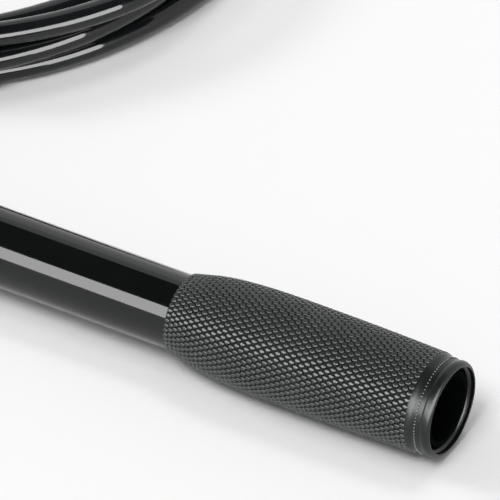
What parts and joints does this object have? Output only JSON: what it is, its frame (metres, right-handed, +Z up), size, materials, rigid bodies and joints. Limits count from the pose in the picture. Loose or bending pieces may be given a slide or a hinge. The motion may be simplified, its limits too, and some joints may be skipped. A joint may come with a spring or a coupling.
{
  "type": "golf ball retriever",
  "caption": "Collapsed telescopic golf ball retriever with a knurled rubber grip, a scoop with a sprung gate, and a coiled haul line.",
  "frame": {"origin": "on the ground, under the middle of the collapsed pole's length and width, its haul line left out", "axes": "+X along the pole towards the open butt of the grip, +Z up, +Y towards the side where the haul line lies"},
  "size_m": [0.6444, 0.32, 0.0353],
  "materials": {
    "gloss_black_tube": "gloss black coat on aluminium tube",
    "grip_rubber": "satin charcoal, knurled",
    "plug_rubber": "matt",
    "black_nylon": "moulded, fine grain",
    "bush_nylon": "natural nylon",
    "section_aluminium": "bright anodised",
    "fastener_steel": "turned",
    "gate_steel": "polished stainless wire",
    "spring_steel": "spring wire",
    "line_jacket": "gloss black jacket",
    "boot_rubber": "satin",
    "tie_fabric": "woven hook and loop strap"
  },
  "bodies": {
    "handle": {"butt_tube": "gloss_black_tube", "grip_sleeve": "grip_rubber", "buffer_plug": "plug_rubber", "front_collar_1": "black_nylon", "line_clamp": "black_nylon", "clamp_screw": "fastener_steel", "clamp_nut": "fastener_steel", "line_boot": "boot_rubber", "line_lead": "line_jacket", "line_coil": "line_jacket", "coil_ties": "tie_fabric", "line_tail": "line_jacket", "line_knob": "black_nylon"},
    "slide_2": {"section_2": "section_aluminium", "rear_bush_2": "bush_nylon", "front_collar_2": "black_nylon"},
    "slide_3": {"section_3": "section_aluminium", "rear_bush_3": "bush_nylon", "front_collar_3": "black_nylon"},
    "slide_4": {"section_4": "section_aluminium", "rear_bush_4": "bush_nylon", "front_collar_4": "black_nylon"},
    "slide_5": {"section_5": "section_aluminium", "rear_bush_5": "bush_nylon", "front_collar_5": "black_nylon"},
    "slide_6": {"section_6": "section_aluminium", "rear_bush_6": "bush_nylon", "scoop": "black_nylon", "neck_rivet": "fastener_steel", "gate_pin": "fastener_steel", "gate_spring": "spring_steel"},
    "gate": {"gate_bail": "gate_steel"}
  },
  "joints": [
    {"name": "section_2_slide", "type": "slide", "parent": "handle", "child": "slide_2", "axis": [-1, 0, 0], "range_m": [0, 0.3749]},
    {"name": "section_3_slide", "type": "slide", "parent": "slide_2", "child": "slide_3", "axis": [-1, 0, 0], "range_m": [0, 0.3892]},
    {"name": "section_4_slide", "type": "slide", "parent": "slide_3", "child": "slide_4", "axis": [-1, 0, 0], "range_m": [0, 0.4035]},
    {"name": "section_5_slide", "type": "slide", "parent": "slide_4", "child": "slide_5", "axis": [-1, 0, 0], "range_m": [0, 0.4178]},
    {"name": "section_6_slide", "type": "slide", "parent": "slide_5", "child": "slide_6", "axis": [-1, 0, 0], "range_m": [0, 0.4321]},
    {"name": "gate_swing", "type": "hinge", "parent": "slide_6", "child": "gate", "pos_m": [-0.2745, 0, 0.003], "axis": [0, 1, 0], "range_deg": [0, 85], "stiffness_Nm_per_rad": 0.01, "springref_deg": -34.38, "deforming": ["gate_spring"]}
  ]
}
